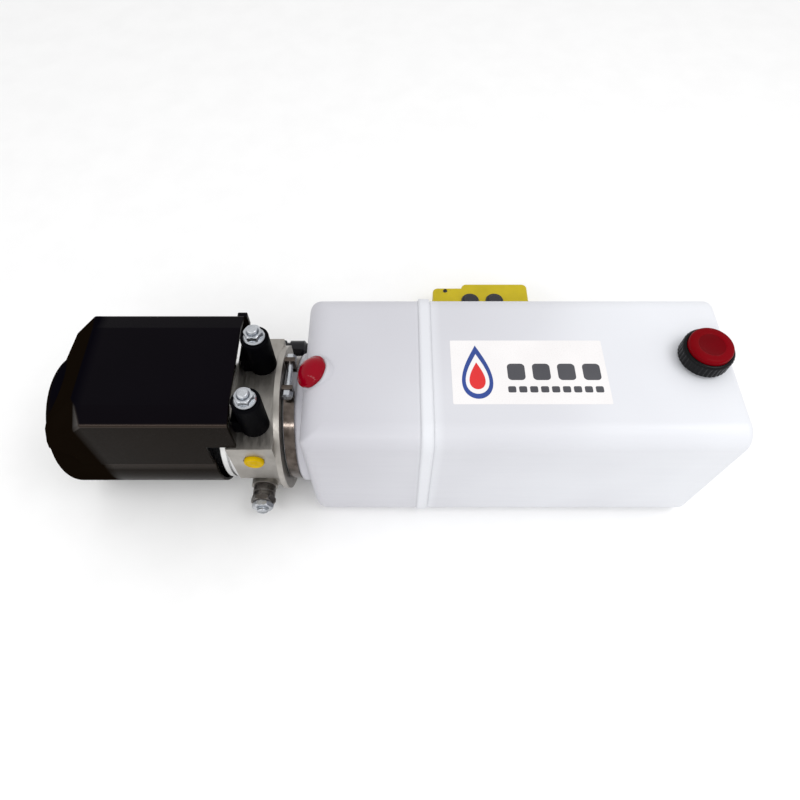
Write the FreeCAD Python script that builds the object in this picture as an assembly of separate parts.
"""Hydraulic power unit: DC motor, manifold, gear pump, plastic tank and hand control.

X runs along the unit, from the motor (-X) to the tank (+X). Y points away from the
valve side, Z points up. The origin is the middle of the four mounting holes in the
underside of the manifold, at the level of the floor. All lengths are millimetres.
"""
import FreeCAD, Part
import math
import os
from FreeCAD import Vector

# ---- driving dimensions ----------------------------------------------------------
AXIS_Z = 71.5            # height of the motor and pump shaft
SHAFT_R = 7.0            # motor shaft and pump shafts
RUN_FIT = 0.05           # radial clearance of a running fit
GAP = 0.3                # clearance of a loose part

COVER_X0 = -212.0        # left end of the motor cover
COVER_X1 = -12.0         # right edge of its hood
COVER_LOW_X1 = -42.0     # right edge of its lower half
COVER_R = 71.4           # round lower half
COVER_DOME_R = 9.0       # rounding of its closed end
COVER_BOX_X0 = -207.0    # left end of the box on top of the round half
COVER_EDGE_R = 4.0
COVER_LIP_Z = 95.0       # lower edge of the box, a lip over the round half
COVER_UNDER_X1 = -180.0   # right edge of the cut under its left corners
COVER_TOP_Z = 174.0
COVER_SHOULDER_Z = 169.0
COVER_SHOULDER_Y = 66.5
COVER_FLAT_Y = 46.0      # half width of the flat top
COVER_LIP_Y = 70.5
COVER_WALL = 3.0
COVER_TOP_X0 = -163.0    # where the flat top ends at the left
COVER_SLOPE_RUN = 46.0   # the sloping end falls by COVER_SLOPE_RISE over this length
COVER_SLOPE_RISE = 43.0
HOOD_Z = 130.0           # underside of the hood walls

CAN_R = 57.0             # motor can
CAN_BORE_R = 53.0
CAN_X0 = -160.0
CAN_X1 = -37.0
REAR_CAP_X0 = -170.0
HEAD_R = 67.0            # drive-end head and adapter ring
HEAD_X1 = -30.5
ADAPTER_X0 = -30.5
ADAPTER_GROOVE = 2.4

BLOCK_X0 = -23.0         # manifold block
BLOCK_X1 = 23.5
BLOCK_Y0 = -70.5
BLOCK_Y1 = 66.0
BLOCK_Z0 = 52.0
BLOCK_Z1 = 129.0
BLOCK_EDGE_R = 10.0
FOOT_HALF_Y = 40.0
FLANGE_X1 = 29.5
FLANGE_R = 80.0
MOUNT_DX = 26.0          # mounting holes in the foot
MOUNT_DY = 60.0
MOUNT_R = 5.0
MOUNT_DEPTH = 18.0
SHAFT_BORE_R = 16.0

COIL_X = 4.0             # solenoid valves
COIL_REAR_Y = 32.0
COIL_FRONT_Y = -42.0
COIL_R = 14.5
COIL_Z0 = BLOCK_Z1 + GAP
COIL_Z1 = 177.0
GUIDE_R = 8.0
STUD_R = 5.6
PLUNGER_R = 5.0

RELIEF_X = -2.0          # relief valve, axis along -Y
RELIEF_Z = 31.0
RELIEF_BOSS_Y = -68.0
RELIEF_NUT_Y = -82.0     # its hexagon, lock nut and adjusting screw, from here to the tip
RELIEF_LOCK_Y = -88.5
RELIEF_TIP_Y = -99.0
RELIEF_SCREW_R = 6.0
PLUG_X = 0.8             # yellow port plug, axis along -Y
PLUG_Z = 103.0
PLUG_R = 10.2
PLUG_PROUD = 4.0         # height of its head over the block's face
OUTLET_Y = 96.5          # elbow fitting behind the block
OUTLET_Z = 67.0
OUTLET_X = 7.0
OUTLET_X1 = 43.0
OUTLET_BORE_R = 4.2
REAR_PORT_X = -11.0      # open threaded port in the rear face
REAR_PORT_Z = 112.0
PORT_R = 6.6
PORT_DEPTH = 16.0
CHECK_BALL_Z = 32.2      # centre of the check ball, just under its seat

GEAR_TEETH = 12          # gear pump
GEAR_MODULE = 2.5
GEAR_ANGLE = math.radians(28.0)
GEAR_X0 = 41.6
GEAR_X1 = 65.4
PUMP_X0 = 29.5
PUMP_X1 = 65.5
PUMP_COVER_X1 = 79.5
PUMP_HALF_Y = 30.0
PUMP_Z0 = 45.0
PUMP_Z1 = 128.0

TANK_X0 = 44.0           # tank: round collar, then the body
TANK_COLLAR_R = 71.3
TANK_BODY_X0 = 54.5
TANK_FACE_R = 15.0
TANK_X1 = 475.8
TANK_HALF_Y = 87.5
TANK_Z1 = 179.0
TANK_EDGE_R = 20.0
TANK_END_R = 6.0
TANK_WALL = 4.0
NECK_R = 67.0
NECK_X0 = 31.0
RIB_X = 175.5
RIB_WIDTH = 12.0
RIB_HEIGHT = 2.5
FILLER_X = 445.4
FILLER_Y = 4.0
FILLER_R = 19.0
THREAD_GAP = 1.2         # clearance of the cap's coarse thread
CAP_R = 24.6
CAP_Z0 = 182.0
CAP_Z1 = 197.0
CAP_INSERT_R = 21.0
CAP_INSERT_Z1 = 202.5
SHOULDER_R = 26.0        # big round over the top of the body's near end
BREATHER_Y = -9.5        # red shoulder plug
BREATHER_TILT = 35.0     # degrees from vertical, towards -X
BREATHER_STAND = 0.8     # height of its seat above the shoulder
BREATHER_R = 17.3

PENDANT_X0 = 197.0       # hand control
PENDANT_X1 = 325.0
PENDANT_NECK_X = 236.0
PENDANT_Y0 = 167.0
PENDANT_Y1 = 227.0
PENDANT_Z1 = 40.0
PENDANT_SPLIT_Z = 24.0
PENDANT_WALL = 2.5
BUTTON_XS = (246.5, 279.0)
BUTTON_Y = 196.5
BUTTON_R = 8.6
BEZEL_R = 11.7

X_AXIS = Vector(1, 0, 0)
Y_AXIS = Vector(0, 1, 0)
Z_AXIS = Vector(0, 0, 1)


# ---- building blocks ---------------------------------------------------------------
def box(x0, x1, y0, y1, z0, z1):
    return Part.makeBox(x1 - x0, y1 - y0, z1 - z0, Vector(x0, y0, z0))


def cyl_x(x0, x1, r, y=0.0, z=AXIS_Z):
    return Part.makeCylinder(r, x1 - x0, Vector(x0, y, z), X_AXIS)


def cyl_y(y0, y1, r, x, z):
    return Part.makeCylinder(r, y1 - y0, Vector(x, y0, z), Y_AXIS)


def cyl_z(z0, z1, r, x, y):
    return Part.makeCylinder(r, z1 - z0, Vector(x, y, z0), Z_AXIS)


def tube_x(x0, x1, r, bore, y=0.0, z=AXIS_Z):
    return cyl_x(x0, x1, r, y, z).cut(cyl_x(x0 - 1, x1 + 1, bore, y, z))


def tube_z(z0, z1, r, bore, x, y):
    return cyl_z(z0, z1, r, x, y).cut(cyl_z(z0 - 1, z1 + 1, bore, x, y))


def hexagon(across_flats, length, base, axis):
    """A hexagonal prism from base along axis."""
    r = across_flats / math.sqrt(3.0)
    corners = []
    for i in range(7):
        a = math.radians(60.0 * i)
        corners.append(Vector(r * math.cos(a), r * math.sin(a), 0))
    prism = Part.Face(Part.makePolygon(corners)).extrude(Vector(0, 0, length))
    prism.Placement = FreeCAD.Placement(base, FreeCAD.Rotation(Z_AXIS, axis))
    return prism


def fuse(shapes):
    whole = shapes[0]
    for shape in shapes[1:]:
        whole = whole.fuse(shape)
    return whole.removeSplitter()


def group(shapes):
    return Part.makeCompound(shapes)


def revolve_x(points, y, z):
    """A solid of revolution about the line through y, z along X; points are (x, radius)."""
    outline = [Vector(x, y, z + r) for x, r in points]
    outline.append(outline[0])
    face = Part.Face(Part.makePolygon(outline))
    return face.revolve(Vector(0, y, z), X_AXIS, 360)


def fillet_at(shape, radius, test):
    """Round the edges for which test(edge) holds."""
    edges = [e for e in shape.Edges if test(e)]
    return shape.makeFillet(radius, edges)


def rounded_box(x0, x1, y0, y1, z0, z1, radius):
    """A box whose edges along X are rounded."""
    block = box(x0, x1, y0, y1, z0, z1)
    return fillet_at(block, radius, lambda e: along(e, X_AXIS))


def along(edge, axis):
    direction = edge.Vertexes[-1].Point.sub(edge.Vertexes[0].Point)
    return direction.Length > 0 and abs(direction.normalize().dot(axis)) > 0.999


def half_space(point, normal, size=400.0):
    """A big block on the side of the plane that the normal points to."""
    block = Part.makeBox(size, size, size, Vector(-size / 2, -size / 2, 0))
    block.Placement = FreeCAD.Placement(point, FreeCAD.Rotation(Z_AXIS, normal))
    return block


# ---- motor cover -------------------------------------------------------------------
def cover_can(inset):
    """The round lower half with its domed end."""
    can = cyl_x(COVER_X0 + inset, COVER_LOW_X1 + inset, COVER_R - inset)
    end = COVER_X0 + inset + 0.1
    return fillet_at(can, COVER_DOME_R - inset, lambda e: e.CenterOfMass.x < end)


def cover_section(inset, x):
    """Outline across X of the box on top: sloping shoulders and a flat top."""
    half = COVER_LIP_Y - inset
    side = COVER_SHOULDER_Y - inset
    flat = COVER_FLAT_Y - inset * 0.3
    shoulder = COVER_SHOULDER_Z - inset
    top = COVER_TOP_Z - inset
    points = [
        Vector(x, -half, COVER_LIP_Z + inset),
        Vector(x, half, COVER_LIP_Z + inset),
        Vector(x, side, shoulder),
        Vector(x, flat, top),
        Vector(x, -flat, top),
        Vector(x, -side, shoulder),
    ]
    return Part.Face(Part.makePolygon(points + points[:1]))


def cover_cuts(inset):
    """What the sloping end and the cut corners take off the box: point and normal of each."""
    slope = Vector(-COVER_SLOPE_RISE, 0, COVER_SLOPE_RUN).normalize()
    corner = Vector(-0.565, -0.386, 0.73).normalize()
    top_end = Vector(COVER_TOP_X0, 0, COVER_TOP_Z)
    corner_end = Vector(COVER_TOP_X0, -38.0, COVER_TOP_Z)
    cuts = [half_space(top_end - slope * inset, slope), half_space(corner_end - corner * inset, corner)]
    for side in (-1.0, 1.0):
        under = Vector(-0.57, 0.3 * side, -0.6).normalize()
        under_end = Vector(-199.0, 68.5 * side, 130.0)
        cut = half_space(under_end - under * inset, under)
        cuts.append(cut.common(box(-260.0, COVER_UNDER_X1 + inset, -90, 90, 0, 200)))
        upright = Vector(-0.963, 0.27 * side, 0.0).normalize()
        cuts.append(half_space(under_end - upright * inset, upright))
    return cuts


def cover_box(inset, x1):
    """The box over the motor, with its sloping end and cut corners."""
    x0 = COVER_BOX_X0 + inset
    body = cover_section(inset, x0).extrude(Vector(x1 - x0, 0, 0))
    for cut in cover_cuts(inset):
        body = body.cut(cut)
    return fillet_at(body, COVER_EDGE_R - inset, lambda e: cover_edge(e, x0, x1))


def cover_edge(edge, x0, x1):
    """Whether an edge of the box is rounded: all of the upper ones except at its two ends."""
    middle = edge.CenterOfMass
    return middle.z > 128.0 and x0 + 0.5 < middle.x < x1 - 0.5


def cover_solid(inset, x1):
    """The full body of the cover, inset by a wall thickness for its inside."""
    return cover_can(inset).fuse(cover_box(inset, x1))


def cover_screw_places():
    return [(-30.0, 50.0), (30.0, 50.0)]


def motor_cover():
    outer = cover_solid(0.0, COVER_X1)
    inner = cover_solid(COVER_WALL, COVER_X1 + 10)
    shell = outer.cut(inner)
    shell = shell.cut(box(COVER_LOW_X1, 0, -90, 90, -10, HOOD_Z))
    lug = box(COVER_X1 - 7, COVER_X1 + 3, 64.5, 72.0, 153, 169)
    lug = fillet_at(lug, 3.5, lambda e: e.CenterOfMass.y > 71.9)
    shell = shell.fuse(lug)
    for y, z in cover_screw_places():
        shell = shell.cut(cyl_x(COVER_X0 - 1, COVER_X0 + 5, 3.3, y, z))
    return shell


def cover_screws():
    """Two long screws that hold the cover to the rear cap of the motor."""
    screws = []
    for y, z in cover_screw_places():
        spacer = cyl_x(COVER_X0 + COVER_WALL, REAR_CAP_X0, 6.0, y, z)
        shank = cyl_x(COVER_X0 + 0.5, COVER_X0 + COVER_WALL, 3.0, y, z)
        screws.append(spacer.fuse(shank))
    return group(screws)


# ---- motor -------------------------------------------------------------------------
def through_bolt_places():
    return [(48.0 * math.cos(a), AXIS_Z + 48.0 * math.sin(a)) for a in (0.0, math.pi)]


def motor_can():
    return tube_x(CAN_X0, CAN_X1, CAN_R, CAN_BORE_R)


def motor_rear_cap():
    cap = cyl_x(REAR_CAP_X0, CAN_X0, CAN_R)
    cap = fillet_at(cap, 4.0, lambda e: abs(e.CenterOfMass.x - REAR_CAP_X0) < 0.1)
    cap = cap.cut(cyl_x(-169.0, -160.0, 15.0))
    for y, z in through_bolt_places():
        cap = cap.cut(cyl_x(-171, -159, 2.6, y, z))
    return cap


def motor_end_head():
    head = cyl_x(CAN_X1, HEAD_X1, HEAD_R)
    head = fillet_at(head, 1.5, lambda e: abs(e.CenterOfMass.x - CAN_X1) < 0.1)
    head = head.cut(cyl_x(CAN_X1 - 1, HEAD_X1 + 1, 15.0))
    for y, z in through_bolt_places():
        head = head.cut(cyl_x(-38, -30, 2.5, y, z))
    return head


def pump_adapter_ring():
    ring = cyl_x(ADAPTER_X0, BLOCK_X0, HEAD_R)
    ring = ring.cut(tube_x(ADAPTER_X0 - 1, ADAPTER_X0 + ADAPTER_GROOVE, 80.0, 63.5))
    return ring.cut(cyl_x(ADAPTER_X0 - 1, BLOCK_X0 + 1, 13.0))


def through_bolts():
    bolts = []
    for y, z in through_bolt_places():
        shank = cyl_x(REAR_CAP_X0, HEAD_X1, 2.5, y, z)
        head = hexagon(9.0, 4.0, Vector(REAR_CAP_X0 - 4.0, y, z), X_AXIS)
        bolts.append(fuse([shank, head]))
    return group(bolts)


def field_magnets():
    """Four arc magnets with a gap between neighbours for the through bolts."""
    ring = tube_x(-140.0, -55.0, CAN_BORE_R, 45.0)
    gaps = []
    for i in range(2):
        slot = box(-141.0, -54.0, -60.0, 60.0, AXIS_Z - 6.0, AXIS_Z + 6.0)
        slot.rotate(Vector(0, 0, AXIS_Z), X_AXIS, 90.0 * i)
        gaps.append(slot)
    return ring.cut(gaps[0]).cut(gaps[1])


def armature_core():
    core = cyl_x(-130.0, -60.0, 44.0)
    for i in range(12):
        slot = box(-131.0, -59.0, -1.6, 1.6, AXIS_Z + 30.0, AXIS_Z + 46.0)
        slot.rotate(Vector(0, 0, AXIS_Z), X_AXIS, 30.0 * i)
        core = core.cut(slot)
    return core.cut(cyl_x(-131.0, -59.0, 8.0))


def armature_windings():
    rings = []
    for x0, x1 in ((-141.0, -130.0), (-60.0, -49.0)):
        coil = tube_x(x0, x1, 40.0, 10.0)
        rings.append(coil.makeFillet(3.0, [e for e in coil.Edges if e.Length > 200]))
    return group(rings)


def commutator():
    drum = tube_x(-157.0, -142.0, 18.0, SHAFT_R)
    for i in range(24):
        cut = box(-158.0, -141.0, -0.3, 0.3, AXIS_Z + 16.8, AXIS_Z + 19.0)
        cut.rotate(Vector(0, 0, AXIS_Z), X_AXIS, 15.0 * i)
        drum = drum.cut(cut)
    return drum


def motor_shaft():
    shaft = cyl_x(-168.0, -15.0, SHAFT_R)
    return fuse([shaft, cyl_x(-141.5, -48.5, 8.0)])


def brush_places():
    return [45.0 + 90.0 * i for i in range(4)]


def brush_holder():
    plate = tube_x(-159.5, -157.5, 52.5, 20.0)
    for y, z in through_bolt_places():
        plate = plate.cut(cyl_x(-160, -157, 3.0, y, z))
    holders = [plate]
    for angle in brush_places():
        case = box(-157.5, -144.0, -7.0, 7.0, AXIS_Z + 22.0, AXIS_Z + 44.0)
        case = case.cut(box(-156.2, -145.3, -5.2, 5.2, AXIS_Z + 21.0, AXIS_Z + 42.0))
        case.rotate(Vector(0, 0, AXIS_Z), X_AXIS, angle)
        holders.append(case)
    return fuse(holders)


def carbon_brushes():
    brushes = []
    for angle in brush_places():
        brush = box(-156.0, -145.5, -5.0, 5.0, AXIS_Z + 18.3, AXIS_Z + 36.0)
        brush.rotate(Vector(0, 0, AXIS_Z), X_AXIS, angle)
        brushes.append(brush)
    return group(brushes)


def rear_bearing():
    return tube_x(-169.0, -161.0, 15.0, SHAFT_R + RUN_FIT)


def front_bearing():
    return tube_x(CAN_X1, HEAD_X1, 15.0, SHAFT_R + RUN_FIT)


def shaft_coupling():
    return tube_x(-26.0, 6.0, 12.0, SHAFT_R)


# ---- start relay under the cover ---------------------------------------------------
RELAY_Z = 149.5
RELAY_R = 18.0


def start_relay():
    can = cyl_x(-150.0, -104.0, RELAY_R, 0.0, RELAY_Z)
    can = fillet_at(can, 3.0, lambda e: abs(e.CenterOfMass.x + 150.0) < 0.1)
    top = cyl_x(-104.0, -95.0, RELAY_R - 1.5, 0.0, RELAY_Z)
    return fuse([can, top])


def relay_bracket():
    """A saddle between the relay and the motor can."""
    saddle = box(-140.0, -114.0, -24.0, 24.0, AXIS_Z + 50.0, RELAY_Z)
    saddle = saddle.cut(cyl_x(-141.0, -113.0, CAN_R))
    return saddle.cut(cyl_x(-141.0, -113.0, RELAY_R, 0.0, RELAY_Z))


def terminal_studs():
    studs = []
    for y in (-9.0, 9.0):
        stud = cyl_x(-95.0, -78.0, 3.5, y, RELAY_Z)
        nut = hexagon(12.0, 6.0, Vector(-90.0, y, RELAY_Z), X_AXIS)
        studs.append(fuse([stud, nut]))
    post = cyl_z(AXIS_Z + CAN_R - 1.0, 150.0, 3.5, -60.0, 0.0)
    post = post.cut(cyl_x(-70.0, -50.0, CAN_R))
    nut = hexagon(12.0, 6.0, Vector(-60.0, 0.0, 136.0), Z_AXIS)
    studs.append(fuse([post, nut]))
    return group(studs)


# ---- manifold ----------------------------------------------------------------------
def mount_places():
    half_x = MOUNT_DX / 2
    half_y = MOUNT_DY / 2
    return [(x, y) for x in (-half_x, half_x) for y in (-half_y, half_y)]


def pump_bolt_places():
    return [(y, z) for y in (-23.0, 23.0) for z in (53.0, 120.0)]


def manifold_body():
    """The casting before its bores: block, foot, flange and relief valve boss."""
    block = box(BLOCK_X0, BLOCK_X1, BLOCK_Y0, BLOCK_Y1, BLOCK_Z0, BLOCK_Z1)
    lower = [e for e in block.Edges if along(e, X_AXIS) and e.CenterOfMass.z < BLOCK_Z0 + 1]
    block = block.makeFillet(BLOCK_EDGE_R, lower)
    foot = box(BLOCK_X0, BLOCK_X1, -FOOT_HALF_Y, FOOT_HALF_Y, 0.0, BLOCK_Z0 + 1)
    flange = cyl_x(BLOCK_X1, FLANGE_X1, FLANGE_R)
    flange = flange.common(box(0, 40, -100, BLOCK_Y1, 0.0, 200))
    boss = cyl_y(RELIEF_BOSS_Y, -FOOT_HALF_Y + 1, 14.5, RELIEF_X, RELIEF_Z)
    web = box(RELIEF_X + 4, BLOCK_X1, -62.0, -FOOT_HALF_Y + 1, 22.0, BLOCK_Z0 + 1)
    return fuse([block, foot, boss, web, flange])


def manifold_block():
    body = manifold_body()
    body = body.cut(cyl_x(BLOCK_X0 - 1, 20.0, SHAFT_BORE_R))
    body = body.cut(cyl_x(19.0, FLANGE_X1 + 1, 15.0))
    for y in (COIL_REAR_Y, COIL_FRONT_Y):
        body = body.cut(cyl_z(85.0, BLOCK_Z1 + 1, 10.0, COIL_X, y))
    for x, y in mount_places():
        body = body.cut(cyl_z(-1.0, MOUNT_DEPTH, MOUNT_R, x, y))
    for y, z in pump_bolt_places():
        body = body.cut(cyl_x(12.0, FLANGE_X1 + 1, 4.0, y, z))
    body = body.cut(cyl_z(-1.0, 36.0, 7.0, 0.0, 0.0))
    body = body.cut(cyl_z(35.0, 57.0, 3.5, 0.0, 0.0))
    body = body.cut(cyl_y(RELIEF_BOSS_Y - 1, -30.0, 8.0, RELIEF_X, RELIEF_Z))
    body = body.cut(cyl_y(BLOCK_Y0 - 1, BLOCK_Y0 + 1.0, PLUG_R + 1.0, PLUG_X, PLUG_Z))
    body = body.cut(cyl_y(BLOCK_Y0 - 1, BLOCK_Y0 + 22.0, PORT_R, PLUG_X, PLUG_Z))
    body = body.cut(cyl_y(BLOCK_Y1 - 14.0, BLOCK_Y1 + 1, 6.0, OUTLET_X, OUTLET_Z))
    rear_y = BLOCK_Y1 - PORT_DEPTH
    body = body.cut(cyl_y(rear_y, BLOCK_Y1 + 1, PORT_R, REAR_PORT_X, REAR_PORT_Z))
    return body.cut(cyl_x(20.0, FLANGE_X1 + 1, 6.0, 48.0, 60.0))


def shaft_seal():
    return tube_x(22.0, 28.0, 15.0, SHAFT_R + RUN_FIT)


def check_plug():
    plug = cyl_z(0.5, 10.0, 7.0, 0.0, 0.0)
    return plug.cut(hexagon(5.0, 6.0, Vector(0, 0, 0.4), Z_AXIS))


def check_ball():
    return Part.makeSphere(5.0, Vector(0, 0, CHECK_BALL_Z))


def relief_body():
    """Cartridge of the relief valve: thread in the block, barrel and hexagon outside."""
    thread = cyl_y(RELIEF_BOSS_Y - 0.5, -42.0, 8.0, RELIEF_X, RELIEF_Z)
    barrel = cyl_y(RELIEF_NUT_Y, RELIEF_BOSS_Y, 12.4, RELIEF_X, RELIEF_Z)
    start = Vector(RELIEF_X, RELIEF_NUT_Y + 0.2, RELIEF_Z)
    head = hexagon(24.0, RELIEF_NUT_Y - RELIEF_LOCK_Y, start, Vector(0, -1, 0))
    body = fuse([thread, barrel, head])
    body = body.cut(cyl_y(-72.0, -41.0, 4.0 + RUN_FIT, RELIEF_X, RELIEF_Z))
    return body.cut(cyl_y(-92.0, -71.0, RELIEF_SCREW_R + RUN_FIT, RELIEF_X, RELIEF_Z))


def relief_poppet():
    stem = cyl_y(-62.0, -42.0, 4.0, RELIEF_X, RELIEF_Z)
    return fillet_at(stem, 1.5, lambda e: abs(e.CenterOfMass.y + 42.0) < 0.1)


def relief_lock_nut():
    nut = hexagon(21.0, 6.0, Vector(RELIEF_X, RELIEF_LOCK_Y, RELIEF_Z), Vector(0, -1, 0))
    return nut.cut(cyl_y(-96.0, -86.0, RELIEF_SCREW_R + RUN_FIT, RELIEF_X, RELIEF_Z))


def relief_adjuster():
    screw = cyl_y(RELIEF_TIP_Y, -74.0, RELIEF_SCREW_R, RELIEF_X, RELIEF_Z)
    screw = fillet_at(screw, 1.5, lambda e: abs(e.CenterOfMass.y - RELIEF_TIP_Y) < 0.1)
    slot = box(RELIEF_X - 7, RELIEF_X + 7, RELIEF_TIP_Y - 1, RELIEF_TIP_Y + 2, RELIEF_Z - 0.8, RELIEF_Z + 0.8)
    return screw.cut(slot)


def port_plug():
    """Plastic plug of the front port; it pulls out along -Y."""
    face_y = BLOCK_Y0 - PLUG_PROUD
    disc = cyl_y(face_y, BLOCK_Y0 + 1.0 - GAP, PLUG_R, PLUG_X, PLUG_Z)
    disc = fillet_at(disc, 1.5, lambda e: e.CenterOfMass.y < face_y + 0.1)
    return fuse([disc, cyl_y(BLOCK_Y0, BLOCK_Y0 + 14.5, PORT_R - GAP, PLUG_X, PLUG_Z)])


def outlet_elbow():
    """Black elbow screwed into the rear face, its open end towards +X."""
    stem = cyl_y(BLOCK_Y1 - 13.0, OUTLET_Y, 6.0, OUTLET_X, OUTLET_Z)
    nut = hexagon(17.0, 5.0, Vector(OUTLET_X, BLOCK_Y1, OUTLET_Z), Y_AXIS)
    knee = box(OUTLET_X - 8, OUTLET_X + 8, OUTLET_Y - 9, OUTLET_Y + 9, OUTLET_Z - 9, OUTLET_Z + 9)
    knee = knee.makeFillet(2.5, knee.Edges)
    profile = [(OUTLET_X, 0.0), (OUTLET_X, 8.8), (18.0, 8.8), (19.5, 11.2), (36.0, 11.2)]
    profile += [(38.5, 8.0), (OUTLET_X1, 8.0), (OUTLET_X1, 0.0)]
    elbow = fuse([stem, nut, knee, revolve_x(profile, OUTLET_Y, OUTLET_Z)])
    elbow = elbow.cut(cyl_x(OUTLET_X, OUTLET_X1 + 1, OUTLET_BORE_R, OUTLET_Y, OUTLET_Z))
    return elbow.cut(cyl_y(BLOCK_Y1 - 14.0, OUTLET_Y, 3.8, OUTLET_X, OUTLET_Z))


# ---- solenoid valves ---------------------------------------------------------------
def valve_tube(y):
    """Valve body in the block, guide tube through the coil and threaded stud on top."""
    body = cyl_z(86.0, BLOCK_Z1, 10.0, COIL_X, y)
    guide = cyl_z(BLOCK_Z1 - 1, COIL_Z1 + 0.3, GUIDE_R, COIL_X, y)
    stud = cyl_z(COIL_Z1, COIL_Z1 + 13.5, STUD_R, COIL_X, y)
    stud = fillet_at(stud, 1.8, lambda e: e.CenterOfMass.z > COIL_Z1 + 13.0)
    tube = fuse([body, guide, stud])
    return tube.cut(cyl_z(95.0, COIL_Z1 - 4.0, PLUNGER_R + RUN_FIT, COIL_X, y))


def plunger(y):
    return cyl_z(110.0, 160.0, PLUNGER_R, COIL_X, y)


def coil(y):
    """Moulded winding with a lead boss on its motor side."""
    winding = cyl_z(COIL_Z0, COIL_Z1, COIL_R, COIL_X, y)
    boss = box(COIL_X - COIL_R - 5.5, COIL_X, y - 9.0, y + 9.0, COIL_Z0, COIL_Z0 + 20.0)
    boss = fillet_at(boss, 2.5, lambda e: along(e, Z_AXIS) and e.CenterOfMass.x < COIL_X - 1)
    body = fuse([winding, boss])
    body = fillet_at(body, 1.5, lambda e: e.CenterOfMass.z > COIL_Z1 - 0.1)
    return body.cut(cyl_z(COIL_Z0 - 1, COIL_Z1 + 1, GUIDE_R, COIL_X, y))


def coil_nuts():
    nuts = []
    for y in (COIL_REAR_Y, COIL_FRONT_Y):
        z = COIL_Z1 + 0.3
        washer = Part.makeCone(11.0, 9.6, 2.4, Vector(COIL_X, y, z), Z_AXIS)
        nut = hexagon(17.0, 9.0, Vector(COIL_X, y, z), Z_AXIS)
        nuts.append(fuse([washer, nut]).cut(cyl_z(z - 1, z + 12, STUD_R, COIL_X, y)))
    return group(nuts)


# ---- gear pump ---------------------------------------------------------------------
PITCH_R = GEAR_MODULE * GEAR_TEETH / 2
TIP_R = PITCH_R + 0.8 * GEAR_MODULE
ROOT_R = PITCH_R - 1.05 * GEAR_MODULE
DRIVEN_Z = AXIS_Z + 2 * PITCH_R
PUMP_PORT_Z = AXIS_Z + PITCH_R
BACKLASH = 0.012          # half of the tooth thinning, radians


def gear(x0, x1, z, turn):
    """A spur gear with involute teeth about the line y = 0 at height z."""
    base_r = PITCH_R * math.cos(GEAR_ANGLE)

    def involute(r):
        a = math.acos(min(1.0, base_r / r))
        return math.tan(a) - a

    half = math.pi / (2 * GEAR_TEETH) + involute(PITCH_R) - BACKLASH
    start_r = max(base_r, ROOT_R)
    radii = [start_r + (TIP_R - start_r) * i / 5.0 for i in range(6)]
    flank = [(r, half - involute(r)) for r in radii]
    left = [(ROOT_R, flank[0][1])] + flank
    outline = []
    for tooth in range(GEAR_TEETH):
        middle = 2 * math.pi * tooth / GEAR_TEETH + turn
        for r, a in left:
            outline.append(Vector(x0, r * math.sin(middle - a), z + r * math.cos(middle - a)))
        for r, a in reversed(left):
            outline.append(Vector(x0, r * math.sin(middle + a), z + r * math.cos(middle + a)))
    outline.append(outline[0])
    return Part.Face(Part.makePolygon(outline)).extrude(Vector(x1 - x0, 0, 0))


def pump_drive_gear():
    shaft = cyl_x(-14.0, 77.0, SHAFT_R)
    return fuse([gear(GEAR_X0, GEAR_X1, AXIS_Z, 0.0), shaft])


def pump_driven_gear():
    shaft = cyl_x(33.0, 77.0, SHAFT_R, 0.0, DRIVEN_Z)
    half_tooth = math.pi / GEAR_TEETH
    return fuse([gear(GEAR_X0, GEAR_X1, DRIVEN_Z, half_tooth), shaft])


def pump_outline(x0, x1):
    return rounded_box(x0, x1, -PUMP_HALF_Y, PUMP_HALF_Y, PUMP_Z0, PUMP_Z1, 10.0)


def drill_for_bolts(block):
    for y, z in pump_bolt_places():
        block = block.cut(cyl_x(PUMP_X0 - 1, PUMP_COVER_X1 + 1, 4.0 + GAP, y, z))
    return block


def pump_body():
    body = pump_outline(PUMP_X0, PUMP_X1)
    for z in (AXIS_Z, DRIVEN_Z):
        body = body.cut(cyl_x(GEAR_X0 - 0.1, PUMP_X1 + 1, TIP_R + 0.1, 0.0, z))
    body = body.cut(cyl_x(PUMP_X0 - 1, PUMP_X1, SHAFT_R + RUN_FIT))
    body = body.cut(cyl_x(32.0, PUMP_X1, SHAFT_R + RUN_FIT, 0.0, DRIVEN_Z))
    side = box(GEAR_X0 + 4, GEAR_X1 - 4, -20.0, 20.0, PUMP_PORT_Z - 6, PUMP_PORT_Z + 6)
    return drill_for_bolts(body.cut(side))


def pump_rear_cover():
    cover = pump_outline(PUMP_X1, PUMP_COVER_X1)
    for z in (AXIS_Z, DRIVEN_Z):
        cover = cover.cut(cyl_x(PUMP_X1 - 1, 77.5, SHAFT_R + RUN_FIT, 0.0, z))
    cover = cover.cut(cyl_x(PUMP_X1 - 1, PUMP_COVER_X1 + 1, 6.0, 16.0, PUMP_PORT_Z))
    return drill_for_bolts(cover)


def pump_bolts():
    bolts = []
    for y, z in pump_bolt_places():
        shank = cyl_x(13.0, PUMP_COVER_X1, 4.0, y, z)
        head = hexagon(13.0, 5.5, Vector(PUMP_COVER_X1, y, z), X_AXIS)
        bolts.append(fuse([shank, head]))
    return group(bolts)


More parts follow.
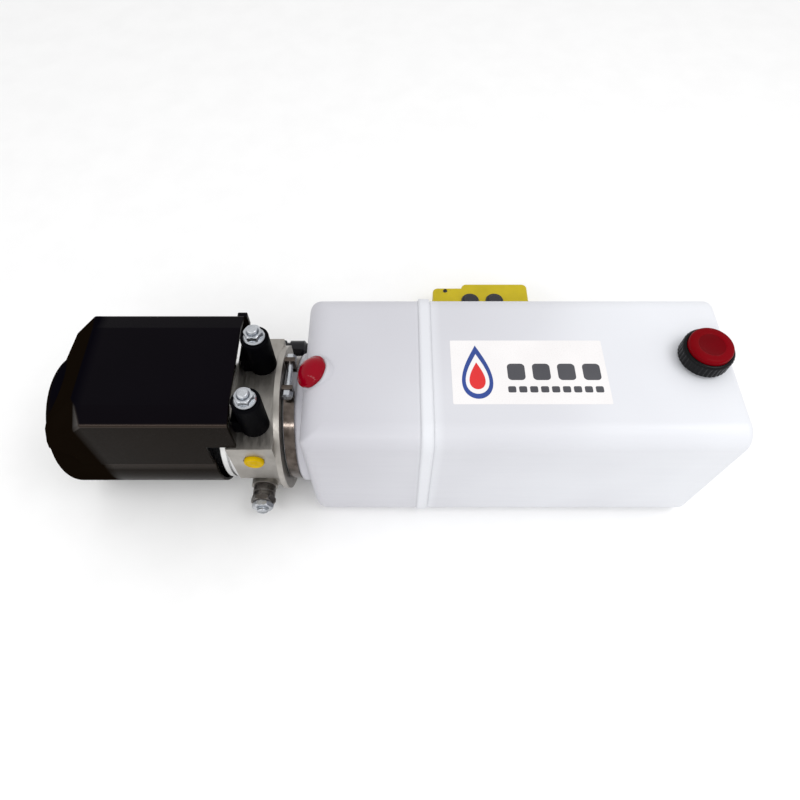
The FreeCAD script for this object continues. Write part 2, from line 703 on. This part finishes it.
def pipe(points, bend, r, bore):
    """A tube along straight runs joined by bends."""
    edges = []
    last = points[0]
    for before, corner, after in zip(points[:-2], points[1:-1], points[2:]):
        into = (corner - before).normalize()
        out = (after - corner).normalize()
        trim = bend * math.tan(into.getAngle(out) / 2)
        start = corner - into * trim
        end = corner + out * trim
        inward = (out - into).normalize()
        to_centre = math.hypot(bend, trim)
        middle = corner + inward * (to_centre - bend)
        edges.append(Part.LineSegment(last, start).toShape())
        edges.append(Part.Arc(start, middle, end).toShape())
        last = end
    edges.append(Part.LineSegment(last, points[-1]).toShape())
    path = Part.Wire(edges)
    direction = (points[1] - points[0]).normalize()
    rims = [Part.Wire(Part.makeCircle(radius, points[0], direction)) for radius in (r, bore)]
    return path.makePipeShell([rims[0]], True, True).cut(path.makePipeShell([rims[1]], True, True))


STRAINER_X = 165.0
STRAINER_R = 24.0


def suction_tube():
    top = Vector(PUMP_COVER_X1, 16.0, PUMP_PORT_Z)
    corner = Vector(STRAINER_X, 16.0, PUMP_PORT_Z)
    return pipe([top, corner, Vector(STRAINER_X, 16.0, 38.0)], 25.0, 7.5, 6.0)


def suction_strainer():
    drum = cyl_z(8.0, 38.0, STRAINER_R, STRAINER_X, 16.0)
    drum = drum.cut(cyl_z(10.0, 36.0, STRAINER_R - 1.5, STRAINER_X, 16.0))
    drum = drum.cut(cyl_z(35.0, 39.0, 6.0, STRAINER_X, 16.0))
    for i in range(12):
        window = box(-3.0, 3.0, STRAINER_R - 3.0, STRAINER_R + 1.0, 12.0, 34.0)
        window.rotate(Vector(0, 0, 0), Z_AXIS, 30.0 * i)
        window.translate(Vector(STRAINER_X, 16.0, 0))
        drum = drum.cut(window)
    return drum


def return_tube():
    tube = tube_x(20.0, 150.0, 6.0, 4.5, 48.0, 60.0)
    return tube.cut(half_space(Vector(146.0, 48.0, 60.0), Vector(1, 0, 1)))


# ---- tank --------------------------------------------------------------------------
def tank_solid(inset):
    """Full body of the tank, inset by the wall thickness for its inside."""
    half = TANK_HALF_Y - inset
    x0 = TANK_BODY_X0 + inset
    x1 = TANK_X1 - inset
    body = box(x0, x1, -half, half, inset, TANK_Z1 - inset)
    body = fillet_at(body, TANK_EDGE_R - inset, lambda e: along(e, X_AXIS))
    body = fillet_at(body, TANK_END_R - inset * 0.5, lambda e: e.CenterOfMass.x > x1 - 0.1)
    body = fillet_at(body, TANK_FACE_R - inset, lambda e: e.CenterOfMass.x < x0 + 0.1)
    round_x = TANK_BODY_X0 + SHOULDER_R
    round_z = TANK_Z1 - SHOULDER_R
    corner = box(TANK_X0, round_x, -100, 100, round_z, TANK_Z1 + 1)
    return body.cut(corner.cut(cyl_y(-101, 101, SHOULDER_R - inset, round_x, round_z)))


def tank_collar():
    """The round step between the neck and the body of the tank."""
    collar = cyl_x(TANK_X0, TANK_BODY_X0 + 6, TANK_COLLAR_R)
    return fillet_at(collar, 3.0, lambda e: e.CenterOfMass.x < TANK_X0 + 0.1)


def tank_rib():
    """The raised bead round the tank."""
    x0 = RIB_X - RIB_WIDTH / 2
    x1 = RIB_X + RIB_WIDTH / 2
    grow = RIB_HEIGHT
    half = TANK_HALF_Y + grow
    bead = rounded_box(x0, x1, -half, half, 0.0, TANK_Z1 + grow, TANK_EDGE_R + grow)
    return bead.makeFillet(2.0, [e for e in bead.Edges if not along(e, X_AXIS)])


def breather_axis():
    tilt = math.radians(BREATHER_TILT)
    return Vector(-math.sin(tilt), 0, math.cos(tilt))


def breather_seat():
    """Middle of the flat seat of the red plug, just proud of the rounded shoulder."""
    centre = Vector(TANK_BODY_X0 + SHOULDER_R, BREATHER_Y, TANK_Z1 - SHOULDER_R)
    return centre + breather_axis() * (SHOULDER_R + BREATHER_STAND)


def tank_shell():
    axis = breather_axis()
    seat = breather_seat()
    outer = tank_solid(0.0).fuse(tank_rib())
    outer = outer.fuse(tank_collar())
    outer = outer.fuse(cyl_x(NECK_X0, TANK_X0 + 2, NECK_R))
    outer = outer.fuse(Part.makeCone(BREATHER_R + 2.5, BREATHER_R + 0.6, 10.0, seat - axis * 10, axis))
    inner = tank_solid(TANK_WALL)
    inner = inner.fuse(cyl_x(NECK_X0 - 1, TANK_BODY_X0 + 8, NECK_R - TANK_WALL))
    inner = inner.fuse(cyl_z(TANK_Z1 - 8, TANK_Z1 + 1, FILLER_R, FILLER_X, FILLER_Y))
    inner = inner.fuse(Part.makeCylinder(8.3, 26.0, seat - axis * 25, axis))
    return outer.cut(inner)


def filler_neck():
    """Ring set into the top of the tank, with the cap's thread on its outside."""
    low = TANK_Z1 - 8.0
    neck = tube_z(low, TANK_Z1 + 8.0, FILLER_R, FILLER_R - 3.0, FILLER_X, FILLER_Y)
    return neck.fuse(tube_z(low, TANK_Z1 - TANK_WALL, FILLER_R + 4.0, FILLER_R - 3.0, FILLER_X, FILLER_Y))


def neck_seal():
    return tube_x(FLANGE_X1, NECK_X0, NECK_R - 0.2, NECK_R - TANK_WALL, 0.0, AXIS_Z)


BAND_X0 = 31.8
BAND_X1 = 42.8
BAND_THICK = 1.8
CLAMP_X = (BAND_X0 + BAND_X1) / 2
CLAMP_Z = AXIS_Z + NECK_R + BAND_THICK + 8.0
EAR_YS = (-13.0, 21.0)


def clamp_band():
    """The band round the tank neck, split at the top between two ears."""
    outer_r = NECK_R + BAND_THICK
    band = tube_x(BAND_X0, BAND_X1, outer_r, NECK_R, 0.0, AXIS_Z)
    band = band.cut(box(BAND_X0 - 1, BAND_X1 + 1, EAR_YS[0] + 4, EAR_YS[1] - 4, AXIS_Z, 200.0))
    ears = []
    for y in EAR_YS:
        ear = box(BAND_X0, BAND_X1, y - 2.5, y + 2.5, AXIS_Z + NECK_R - 3, CLAMP_Z + 6)
        ears.append(ear.cut(cyl_x(BAND_X0 - 1, BAND_X1 + 1, NECK_R, 0.0, AXIS_Z)))
    band = fuse([band] + ears)
    return band.cut(cyl_y(-40.0, 40.0, 3.2, CLAMP_X, CLAMP_Z))


def clamp_bolt():
    bolt = cyl_y(EAR_YS[0] - 9, EAR_YS[1] + 4, 3.0, CLAMP_X, CLAMP_Z)
    head_base = Vector(CLAMP_X, EAR_YS[1] + 2.5, CLAMP_Z)
    head = hexagon(10.0, 5.0, head_base, Y_AXIS)
    nut = hexagon(10.0, 6.0, Vector(CLAMP_X, EAR_YS[0] - 8.5, CLAMP_Z), Y_AXIS)
    return fuse([bolt, head, nut])


def filler_cap():
    """Screw cap with a ribbed grip; it closes over the filler neck."""
    cap = cyl_z(CAP_Z0, CAP_Z1, CAP_R - 0.8, FILLER_X, FILLER_Y)
    cap = fillet_at(cap, 2.0, lambda e: e.CenterOfMass.z > CAP_Z1 - 0.1)
    ribs = []
    for i in range(30):
        rib = cyl_z(CAP_Z0, CAP_Z1 - 3.0, 1.5, CAP_R - 1.5, 0.0)
        rib.rotate(Vector(0, 0, 0), Z_AXIS, 12.0 * i)
        rib.translate(Vector(FILLER_X, FILLER_Y, 0))
        ribs.append(rib)
    cap = fuse([cap] + ribs)
    cap = cap.cut(cyl_z(CAP_Z0 - 1, TANK_Z1 + 8.0 + 1.6, FILLER_R + THREAD_GAP, FILLER_X, FILLER_Y))
    return cap.cut(cyl_z(CAP_Z1 - 3.0, CAP_Z1 + 1, CAP_INSERT_R, FILLER_X, FILLER_Y))


def cap_insert():
    disc = cyl_z(CAP_Z1 - 3.0, CAP_INSERT_Z1, CAP_INSERT_R, FILLER_X, FILLER_Y)
    disc = fillet_at(disc, 2.2, lambda e: e.CenterOfMass.z > CAP_INSERT_Z1 - 0.1)
    return disc.cut(cyl_z(CAP_INSERT_Z1 - 1.5, CAP_INSERT_Z1 + 1, 12.0, FILLER_X, FILLER_Y))


def filler_seal():
    z0 = TANK_Z1 + 8.0
    return tube_z(z0, z0 + 1.3, FILLER_R - 0.3, FILLER_R - 2.7, FILLER_X, FILLER_Y)


def breather_plug():
    """Domed plug on the shoulder; it pulls out along its own axis."""
    axis = breather_axis()
    seat = breather_seat()
    rim = Part.makeCylinder(BREATHER_R, 3.0, seat + axis * 0.2, axis)
    dome = Part.makeSphere(19.0, seat - axis * 6.8)
    dome = dome.common(Part.makeCylinder(BREATHER_R - 1.0, 20.0, seat + axis * 2.0, axis))
    stem = Part.makeCylinder(8.0, 13.0, seat - axis * 12.0, axis)
    return fuse([rim, dome, stem])


# ---- hand control ------------------------------------------------------------------
def pendant_outline(inset, z0, z1):
    wide = box(PENDANT_NECK_X + inset, PENDANT_X1 - inset, PENDANT_Y0 + inset, PENDANT_Y1 - inset, z0, z1)
    wide = fillet_at(wide, 7.0 - inset, lambda e: along(e, Z_AXIS))
    slim = box(PENDANT_X0 + inset, PENDANT_NECK_X + 12, PENDANT_Y0 + 7 + inset, PENDANT_Y1 - 7 - inset, z0, z1)
    slim = fillet_at(slim, 7.0 - inset, lambda e: along(e, Z_AXIS) and e.CenterOfMass.x < PENDANT_X0 + 10)
    return fuse([wide, slim])


def pendant_screw_places():
    return [(209.0, 182.0), (209.0, 212.0), (317.0, 176.0), (317.0, 218.0)]


def pendant_base():
    shell = pendant_outline(0.0, 0.0, PENDANT_SPLIT_Z)
    shell = shell.cut(pendant_outline(PENDANT_WALL, PENDANT_WALL, PENDANT_SPLIT_Z + 1))
    posts = [cyl_z(1.0, PENDANT_SPLIT_Z, 4.0, x, y) for x, y in pendant_screw_places()]
    shell = fuse([shell] + posts)
    for x, y in pendant_screw_places():
        shell = shell.cut(cyl_z(-1.0, PENDANT_SPLIT_Z + 1, 1.6, x, y))
    gland_z = PENDANT_SPLIT_Z / 2 + 1
    return shell.cut(cyl_x(PENDANT_X0 - 1, PENDANT_X0 + 4, 5.0, 197.0, gland_z))


def pendant_lid():
    shell = pendant_outline(0.0, PENDANT_SPLIT_Z, PENDANT_Z1)
    shell = fillet_at(shell, 2.0, lambda e: e.CenterOfMass.z > PENDANT_Z1 - 0.1)
    shell = shell.cut(pendant_outline(PENDANT_WALL, PENDANT_SPLIT_Z - 1, PENDANT_Z1 - PENDANT_WALL))
    posts = []
    for x, y in pendant_screw_places():
        posts.append(cyl_z(PENDANT_SPLIT_Z, PENDANT_Z1 - 1, 4.0, x, y))
    shell = fuse([shell] + posts)
    for x, y in pendant_screw_places():
        shell = shell.cut(cyl_z(PENDANT_SPLIT_Z - 1, PENDANT_SPLIT_Z + 10, 1.6, x, y))
    for x in BUTTON_XS:
        shell = shell.cut(cyl_z(PENDANT_Z1 - 5, PENDANT_Z1 + 1, BEZEL_R - 1.2, x, BUTTON_Y))
    return shell


def button_bezels():
    bezels = []
    for x in BUTTON_XS:
        ring = cyl_z(PENDANT_Z1, PENDANT_Z1 + 2.5, BEZEL_R, x, BUTTON_Y)
        ring = fillet_at(ring, 1.0, lambda e: e.CenterOfMass.z > PENDANT_Z1 + 2.4)
        sleeve = cyl_z(PENDANT_Z1 - PENDANT_WALL, PENDANT_Z1, BEZEL_R - 1.2, x, BUTTON_Y)
        bezel = fuse([ring, sleeve])
        bezels.append(bezel.cut(cyl_z(PENDANT_Z1 - 4, PENDANT_Z1 + 4, BUTTON_R + GAP, x, BUTTON_Y)))
    return group(bezels)


def button(x):
    cap = cyl_z(PENDANT_Z1 - 1.5, PENDANT_Z1 + 4.0, BUTTON_R, x, BUTTON_Y)
    cap = fillet_at(cap, 1.2, lambda e: e.CenterOfMass.z > PENDANT_Z1 + 3.9)
    return fuse([cap, cyl_z(26.0, PENDANT_Z1 - 1.0, 3.0, x, BUTTON_Y)])


def switch_blocks():
    blocks = []
    for x in BUTTON_XS:
        block = box(x - 11, x + 11, BUTTON_Y - 13, BUTTON_Y + 13, PENDANT_WALL, 30.0)
        blocks.append(block.cut(cyl_z(20.0, 31.0, 3.0 + RUN_FIT, x, BUTTON_Y)))
    return group(blocks)


def pendant_gland():
    gland_z = PENDANT_SPLIT_Z / 2 + 1
    profile = [(187.0, 0.0), (187.0, 5.0), (196.8, 7.5), (196.8, 0.0)]
    nose = revolve_x(profile, 197.0, gland_z)
    gland = fuse([nose, cyl_x(196.0, 200.0, 5.0, 197.0, gland_z)])
    return gland.cut(cyl_x(186.0, 201.0, 3.2, 197.0, gland_z))


# ---- export ------------------------------------------------------------------------
NODES = {
    "motor_cover": motor_cover(),
    "cover_screws": cover_screws(),
    "motor_can": motor_can(),
    "motor_rear_cap": motor_rear_cap(),
    "motor_end_head": motor_end_head(),
    "pump_adapter_ring": pump_adapter_ring(),
    "through_bolts": through_bolts(),
    "field_magnets": field_magnets(),
    "armature_core": armature_core(),
    "armature_windings": armature_windings(),
    "commutator": commutator(),
    "motor_shaft": motor_shaft(),
    "brush_holder": brush_holder(),
    "carbon_brushes": carbon_brushes(),
    "motor_bearings": group([rear_bearing(), front_bearing()]),
    "shaft_coupling": shaft_coupling(),
    "start_relay": start_relay(),
    "relay_bracket": relay_bracket(),
    "terminal_studs": terminal_studs(),
    "manifold_block": manifold_block(),
    "shaft_seal": shaft_seal(),
    "check_plug": check_plug(),
    "check_ball": check_ball(),
    "relief_body": relief_body(),
    "relief_poppet": relief_poppet(),
    "relief_lock_nut": relief_lock_nut(),
    "relief_adjuster": relief_adjuster(),
    "port_plug": port_plug(),
    "outlet_elbow": outlet_elbow(),
    "rear_valve_tube": valve_tube(COIL_REAR_Y),
    "front_valve_tube": valve_tube(COIL_FRONT_Y),
    "rear_plunger": plunger(COIL_REAR_Y),
    "front_plunger": plunger(COIL_FRONT_Y),
    "rear_coil": coil(COIL_REAR_Y),
    "front_coil": coil(COIL_FRONT_Y),
    "coil_nuts": coil_nuts(),
    "pump_body": pump_body(),
    "pump_rear_cover": pump_rear_cover(),
    "pump_drive_gear": pump_drive_gear(),
    "pump_driven_gear": pump_driven_gear(),
    "pump_bolts": pump_bolts(),
    "suction_tube": suction_tube(),
    "suction_strainer": suction_strainer(),
    "return_tube": return_tube(),
    "tank_shell": tank_shell(),
    "filler_neck": filler_neck(),
    "neck_seal": neck_seal(),
    "clamp_band": clamp_band(),
    "clamp_bolt": clamp_bolt(),
    "filler_cap": filler_cap(),
    "cap_insert": cap_insert(),
    "filler_seal": filler_seal(),
    "breather_plug": breather_plug(),
    "pendant_base": pendant_base(),
    "pendant_lid": pendant_lid(),
    "button_bezels": button_bezels(),
    "up_button": button(BUTTON_XS[0]),
    "down_button": button(BUTTON_XS[1]),
    "switch_blocks": switch_blocks(),
    "pendant_gland": pendant_gland(),
}

os.makedirs("parts", exist_ok=True)
for name, shape in NODES.items():
    if not shape.isValid():
        print("not valid:", name)
    shape.exportStep("parts/" + name + ".step")
    b = shape.BoundBox
    print("%-20s solids %2d  volume %9.0f  x %.1f..%.1f  y %.1f..%.1f  z %.1f..%.1f" % (
        name, len(shape.Solids), shape.Volume, b.XMin, b.XMax, b.YMin, b.YMax, b.ZMin, b.ZMax))
print(len(NODES), "nodes")
